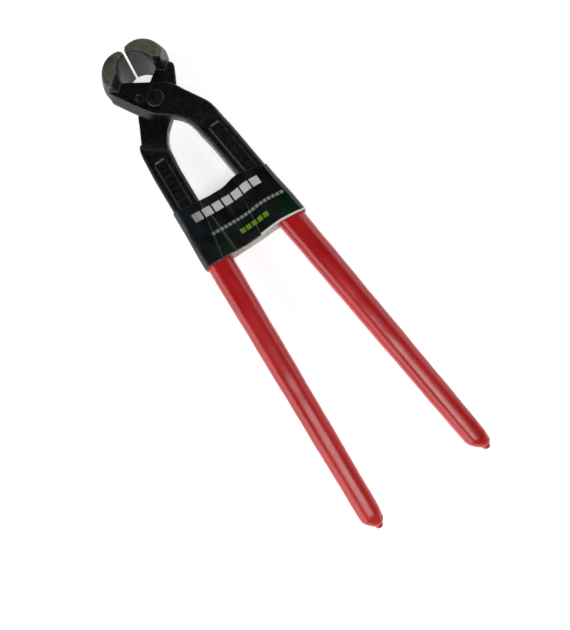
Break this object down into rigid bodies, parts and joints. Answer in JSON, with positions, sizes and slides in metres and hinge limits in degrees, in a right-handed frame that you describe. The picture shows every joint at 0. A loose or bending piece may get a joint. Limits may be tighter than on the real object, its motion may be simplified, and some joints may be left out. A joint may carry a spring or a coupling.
{
  "type": "tower pincers",
  "caption": "End-cutting tower pincers: two crossed black forged levers with round jaws, a rivet, red dipped grips and a blank card band round the handles.",
  "frame": {"origin": "bottom centre of the box of the tool lying flat on one side", "axes": "+Y towards the jaws, along the tool; +Z along the rivet, upwards; +X towards the front lever's handle"},
  "size_m": [0.0722, 0.25, 0.022],
  "materials": {
    "black_steel": "black oxide over forged steel, semi-gloss; jaw side flats ground bright",
    "rivet_steel": "black oxide, semi-gloss",
    "red_grip": "dip-coated soft PVC, glossy",
    "band_card": "printed black card, glossy varnish, white margin"
  },
  "bodies": {
    "rear_half": {"rear_lever": "black_steel", "pivot_rivet": "rivet_steel", "rear_grip": "red_grip", "label_band": "band_card"},
    "front_half": {"front_lever": "black_steel", "front_grip": "red_grip"}
  },
  "joints": [
    {"name": "lever_pivot", "type": "hinge", "parent": "rear_half", "child": "front_half", "pos_m": [0, 0.0972, 0.011], "axis": [0, 0, 1], "range_deg": [-2.3, 50], "deforming": ["label_band"]}
  ]
}
